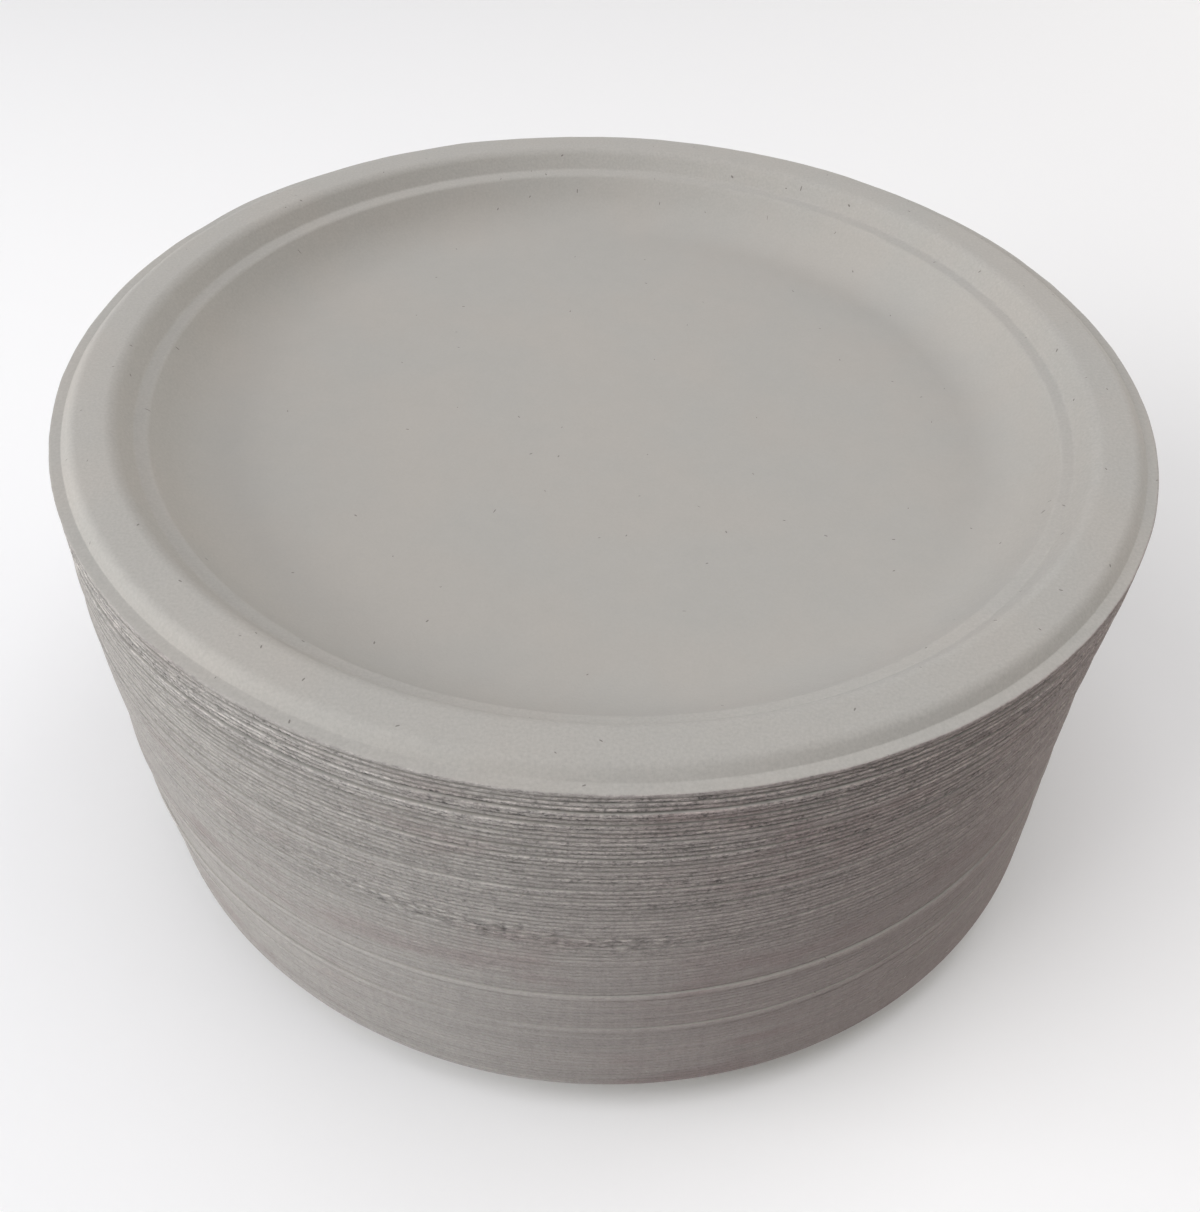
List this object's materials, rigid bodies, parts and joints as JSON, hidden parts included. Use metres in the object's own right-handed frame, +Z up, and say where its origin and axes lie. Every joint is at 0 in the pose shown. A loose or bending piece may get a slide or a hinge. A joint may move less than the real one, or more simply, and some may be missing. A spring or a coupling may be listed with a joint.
{
  "type": "stack of paper plates",
  "caption": "Tall stack of round natural off-white moulded-pulp plates with stepped rims, nested one in another, standing on the flat base of the lowest plate.",
  "frame": {"origin": "on the surface that the stack stands on, under the middle of the stack's box", "axes": "+Z up, out of the wells; +X to the right and +Y away from the viewer in the picture"},
  "size_m": [0.2632, 0.26, 0.1294],
  "materials": {
    "pulp": "matte moulded fibre, natural off-white with sparse dark flecks"
  },
  "bodies": {
    "root": {"top_plate": "pulp", "plate_02": "pulp", "plate_03": "pulp", "plate_04": "pulp", "plate_05": "pulp", "plate_06": "pulp", "plate_07": "pulp", "plate_08": "pulp", "plate_09": "pulp", "plate_10": "pulp", "plate_11": "pulp", "plate_12": "pulp", "plate_13": "pulp", "plate_14": "pulp", "plate_15": "pulp", "plate_16": "pulp", "plate_17": "pulp", "plate_18": "pulp", "plate_19": "pulp", "plate_20": "pulp", "plate_21": "pulp", "plate_22": "pulp", "plate_23": "pulp", "plate_24": "pulp", "plate_25": "pulp", "plate_26": "pulp", "plate_27": "pulp", "plate_28": "pulp", "plate_29": "pulp", "plate_30": "pulp", "plate_31": "pulp", "plate_32": "pulp", "plate_33": "pulp", "plate_34": "pulp", "plates_35_36": "pulp", "plates_37_38": "pulp", "plates_39_40": "pulp", "plates_41_42": "pulp", "plates_43_44": "pulp", "plates_45_46": "pulp", "plates_47_48": "pulp", "plates_49_50": "pulp", "plates_51_52": "pulp", "plates_53_54": "pulp", "plates_55_56": "pulp", "plates_57_58": "pulp", "plates_59_60": "pulp", "plates_61_62": "pulp", "plates_63_64": "pulp", "plates_65_66": "pulp", "plates_67_68": "pulp", "plates_69_70": "pulp", "plates_71_72": "pulp", "plates_73_74": "pulp", "plates_75_76": "pulp", "plates_77_78": "pulp", "plates_79_80": "pulp", "plates_81_82": "pulp", "plates_83_84": "pulp", "bottom_plate": "pulp"}
  },
  "joints": []
}
